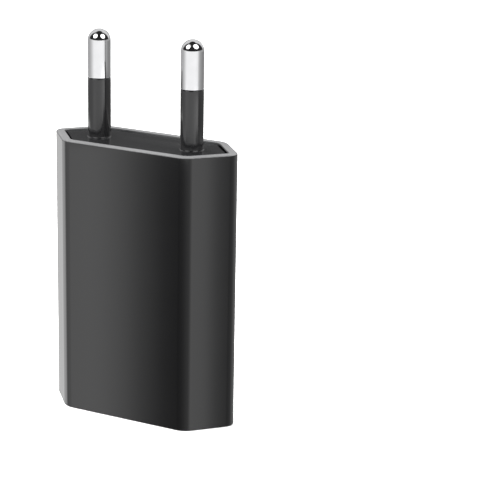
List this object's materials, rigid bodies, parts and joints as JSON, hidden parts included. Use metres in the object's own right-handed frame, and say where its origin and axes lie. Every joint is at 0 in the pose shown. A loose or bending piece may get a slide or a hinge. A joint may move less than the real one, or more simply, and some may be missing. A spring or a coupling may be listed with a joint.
{
  "type": "usb wall charger",
  "caption": "Slim six-sided wall charger standing on its socket end, with a round two-pin plug on one end and a USB-A socket on the other.",
  "frame": {"origin": "centre of the socket-end rim, the face the charger stands on", "axes": "+Z along the body towards the pins, X across the two pins, Y through the thickness"},
  "size_m": [0.036, 0.0144, 0.0677],
  "materials": {
    "satin_black_shell": "satin moulded black, matt on the rims",
    "gloss_black_plate": "glossy black",
    "gloss_black_collar": "semi-gloss black insulating collar",
    "nickel_plated_pin": "bright nickel plate, finely turned",
    "brass_strip": "bright rolled strip",
    "circuit_board": "green solder mask",
    "ferrite": "sintered grey",
    "ivory_plastic": "white moulded",
    "enamelled_copper": "wound enamelled wire",
    "yellow_tape": "polyester tape",
    "capacitor_can": "shrink sleeve on an aluminium can",
    "blue_ceramic": "dipped coating",
    "resistor_coat": "cement coat",
    "component_black": "moulded epoxy",
    "steel_shell": "tinned steel",
    "gold_contact": "gold flashed contact"
  },
  "bodies": {
    "charger_body": {"bridge_rectifier": "component_black", "chip_resistor_1": "component_black", "chip_resistor_2": "component_black", "chip_resistor_3": "component_black", "chip_resistor_4": "component_black", "controller_chip": "component_black", "fusible_resistor": "resistor_coat", "housing_sleeve": "satin_black_shell", "input_capacitor_1": "capacitor_can", "input_capacitor_2": "capacitor_can", "main_circuit_board": "circuit_board", "output_capacitor_1": "capacitor_can", "output_capacitor_2": "capacitor_can", "output_choke_core": "ferrite", "output_choke_winding": "enamelled_copper", "output_diode": "component_black", "pin_base_plate": "gloss_black_plate", "pin_contact_left": "brass_strip", "pin_contact_right": "brass_strip", "pin_insulation_left": "gloss_black_collar", "pin_insulation_right": "gloss_black_collar", "plug_pin_left": "nickel_plated_pin", "plug_pin_right": "nickel_plated_pin", "power_transistor": "component_black", "safety_capacitor": "blue_ceramic", "transformer_bobbin": "ivory_plastic", "transformer_core_lower": "ferrite", "transformer_core_upper": "ferrite", "transformer_tape": "yellow_tape", "transformer_winding": "enamelled_copper", "usb_face_plate": "gloss_black_plate", "usb_shell": "steel_shell", "usb_tongue": "ivory_plastic"},
    "usb_contact_1_body": {"usb_contact_1": "gold_contact"},
    "usb_contact_2_body": {"usb_contact_2": "gold_contact"},
    "usb_contact_3_body": {"usb_contact_3": "gold_contact"},
    "usb_contact_4_body": {"usb_contact_4": "gold_contact"},
    "usb_grip_spring_back_left_body": {"usb_grip_spring_back_left": "steel_shell"},
    "usb_grip_spring_back_right_body": {"usb_grip_spring_back_right": "steel_shell"},
    "usb_grip_spring_front_left_body": {"usb_grip_spring_front_left": "steel_shell"},
    "usb_grip_spring_front_right_body": {"usb_grip_spring_front_right": "steel_shell"}
  },
  "joints": [
    {"name": "usb_contact_1_flex", "type": "hinge", "parent": "charger_body", "child": "usb_contact_1_body", "pos_m": [-0.0035, -0.00057, 0.0111], "axis": [-1, 0, 0], "range_deg": [0, 3.2], "stiffness_Nm_per_rad": 0.05},
    {"name": "usb_contact_2_flex", "type": "hinge", "parent": "charger_body", "child": "usb_contact_2_body", "pos_m": [-0.001, -0.00057, 0.0111], "axis": [-1, 0, 0], "range_deg": [0, 3.2], "stiffness_Nm_per_rad": 0.05},
    {"name": "usb_contact_3_flex", "type": "hinge", "parent": "charger_body", "child": "usb_contact_3_body", "pos_m": [0.001, -0.00057, 0.0111], "axis": [-1, 0, 0], "range_deg": [0, 3.2], "stiffness_Nm_per_rad": 0.05},
    {"name": "usb_contact_4_flex", "type": "hinge", "parent": "charger_body", "child": "usb_contact_4_body", "pos_m": [0.0035, -0.00057, 0.0111], "axis": [-1, 0, 0], "range_deg": [0, 3.2], "stiffness_Nm_per_rad": 0.05},
    {"name": "usb_grip_spring_back_left_flex", "type": "hinge", "parent": "charger_body", "child": "usb_grip_spring_back_left_body", "pos_m": [-0.0034, 0.00271, 0.0085], "axis": [1, 0, 0], "range_deg": [0, 4], "stiffness_Nm_per_rad": 0.1},
    {"name": "usb_grip_spring_back_right_flex", "type": "hinge", "parent": "charger_body", "child": "usb_grip_spring_back_right_body", "pos_m": [0.0034, 0.00271, 0.0085], "axis": [1, 0, 0], "range_deg": [0, 4], "stiffness_Nm_per_rad": 0.1},
    {"name": "usb_grip_spring_front_left_flex", "type": "hinge", "parent": "charger_body", "child": "usb_grip_spring_front_left_body", "pos_m": [-0.0034, -0.00271, 0.0085], "axis": [-1, 0, 0], "range_deg": [0, 4], "stiffness_Nm_per_rad": 0.1},
    {"name": "usb_grip_spring_front_right_flex", "type": "hinge", "parent": "charger_body", "child": "usb_grip_spring_front_right_body", "pos_m": [0.0034, -0.00271, 0.0085], "axis": [-1, 0, 0], "range_deg": [0, 4], "stiffness_Nm_per_rad": 0.1}
  ]
}
